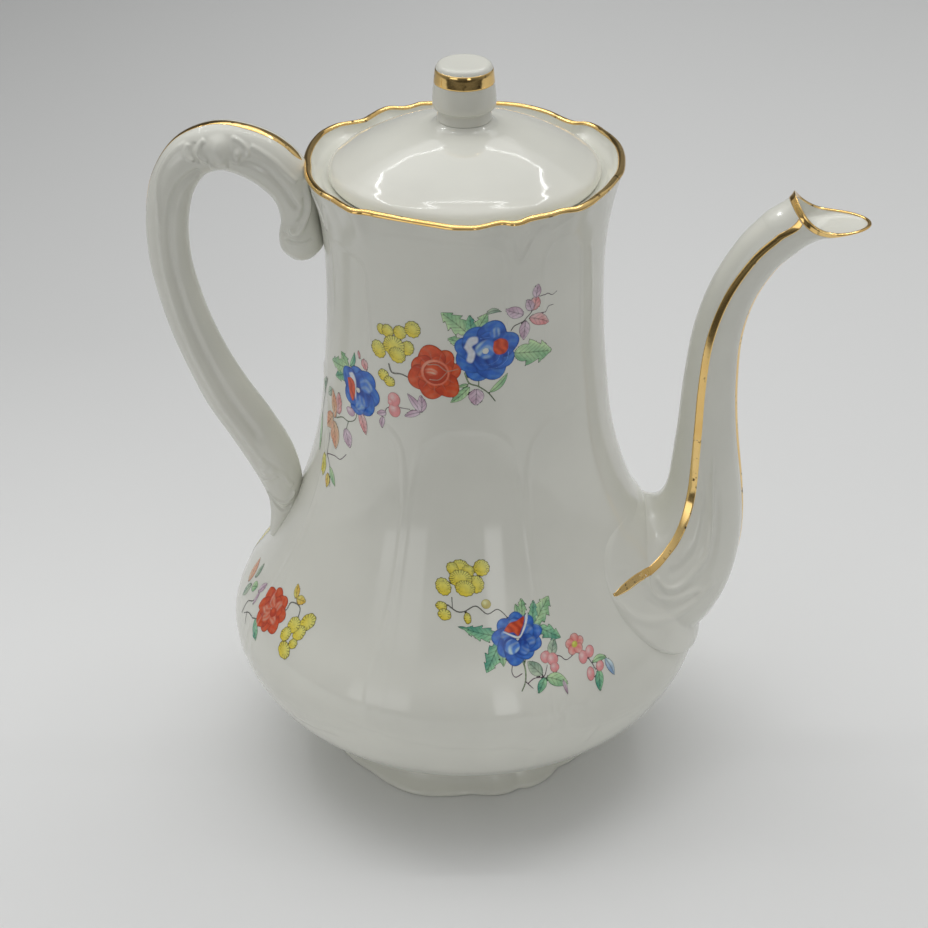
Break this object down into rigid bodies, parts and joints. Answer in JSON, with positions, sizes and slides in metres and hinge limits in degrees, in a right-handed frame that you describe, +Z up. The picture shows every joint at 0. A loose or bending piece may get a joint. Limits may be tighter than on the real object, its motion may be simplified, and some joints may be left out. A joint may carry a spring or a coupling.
{
  "type": "coffee pot",
  "caption": "Tall baluster porcelain coffee pot with moulded panels, a scalloped gilt rim, an S-shaped spout, a scrolled handle and a domed lid that lifts off.",
  "frame": {"origin": "on the surface that the pot stands on, at the centre of the whole pot's footprint box", "axes": "+Z up, +X towards the spout, -X towards the handle, +Y across the pot"},
  "size_m": [0.2246, 0.1534, 0.24],
  "materials": {
    "porcelain": "glossy clear glaze over warm white porcelain",
    "gilding": "bright fired gold, lightly worn"
  },
  "bodies": {
    "pot": {"pot_body": "porcelain", "pot_neck": "porcelain", "foot_ring": "porcelain", "spout": "porcelain", "handle": "porcelain", "rim_gilding": "gilding", "spout_mouth_gilding": "gilding", "spout_line_near": "gilding", "spout_line_far": "gilding", "spout_line_ridge": "gilding", "handle_line": "gilding"},
    "lid": {"lid": "porcelain", "lid_knob": "porcelain", "knob_band": "gilding"}
  },
  "joints": [
    {"name": "lid_lift", "type": "slide", "parent": "pot", "child": "lid", "axis": [0, 0, 1], "range_m": [0, 0.06]}
  ]
}
